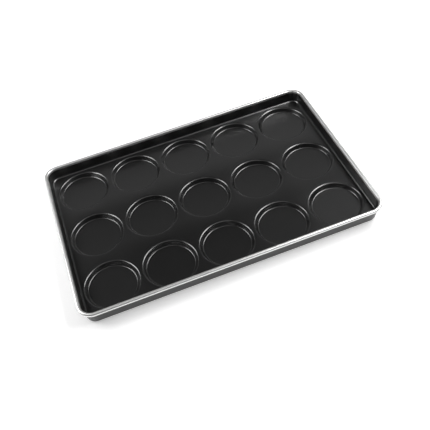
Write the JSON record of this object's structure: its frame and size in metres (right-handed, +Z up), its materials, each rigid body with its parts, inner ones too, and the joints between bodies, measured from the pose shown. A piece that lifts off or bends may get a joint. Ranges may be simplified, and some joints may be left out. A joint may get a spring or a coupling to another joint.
{
  "type": "burger bun pan",
  "caption": "Shallow rectangular baking tray with round wells pressed in a black deck, grey outer walls and a bright rolled rim; shapes and bakes burger buns.",
  "frame": {"origin": "under the middle of the pan, on the surface that it stands on", "axes": "+X along the long side, +Y away from the near long side, +Z up out of the wells"},
  "size_m": [0.6, 0.4, 0.038],
  "materials": {
    "non_stick_coat": "black satin non-stick coat on sheet metal",
    "grey_coat": "dark grey satin coat on sheet metal",
    "bright_rim": "bare bright rolled strip",
    "wire_steel": "drawn steel wire"
  },
  "bodies": {
    "root": {"mould_sheet": "non_stick_coat", "outer_skirt": "grey_coat", "rim_strip": "bright_rim", "rim_wire": "wire_steel"}
  },
  "joints": []
}
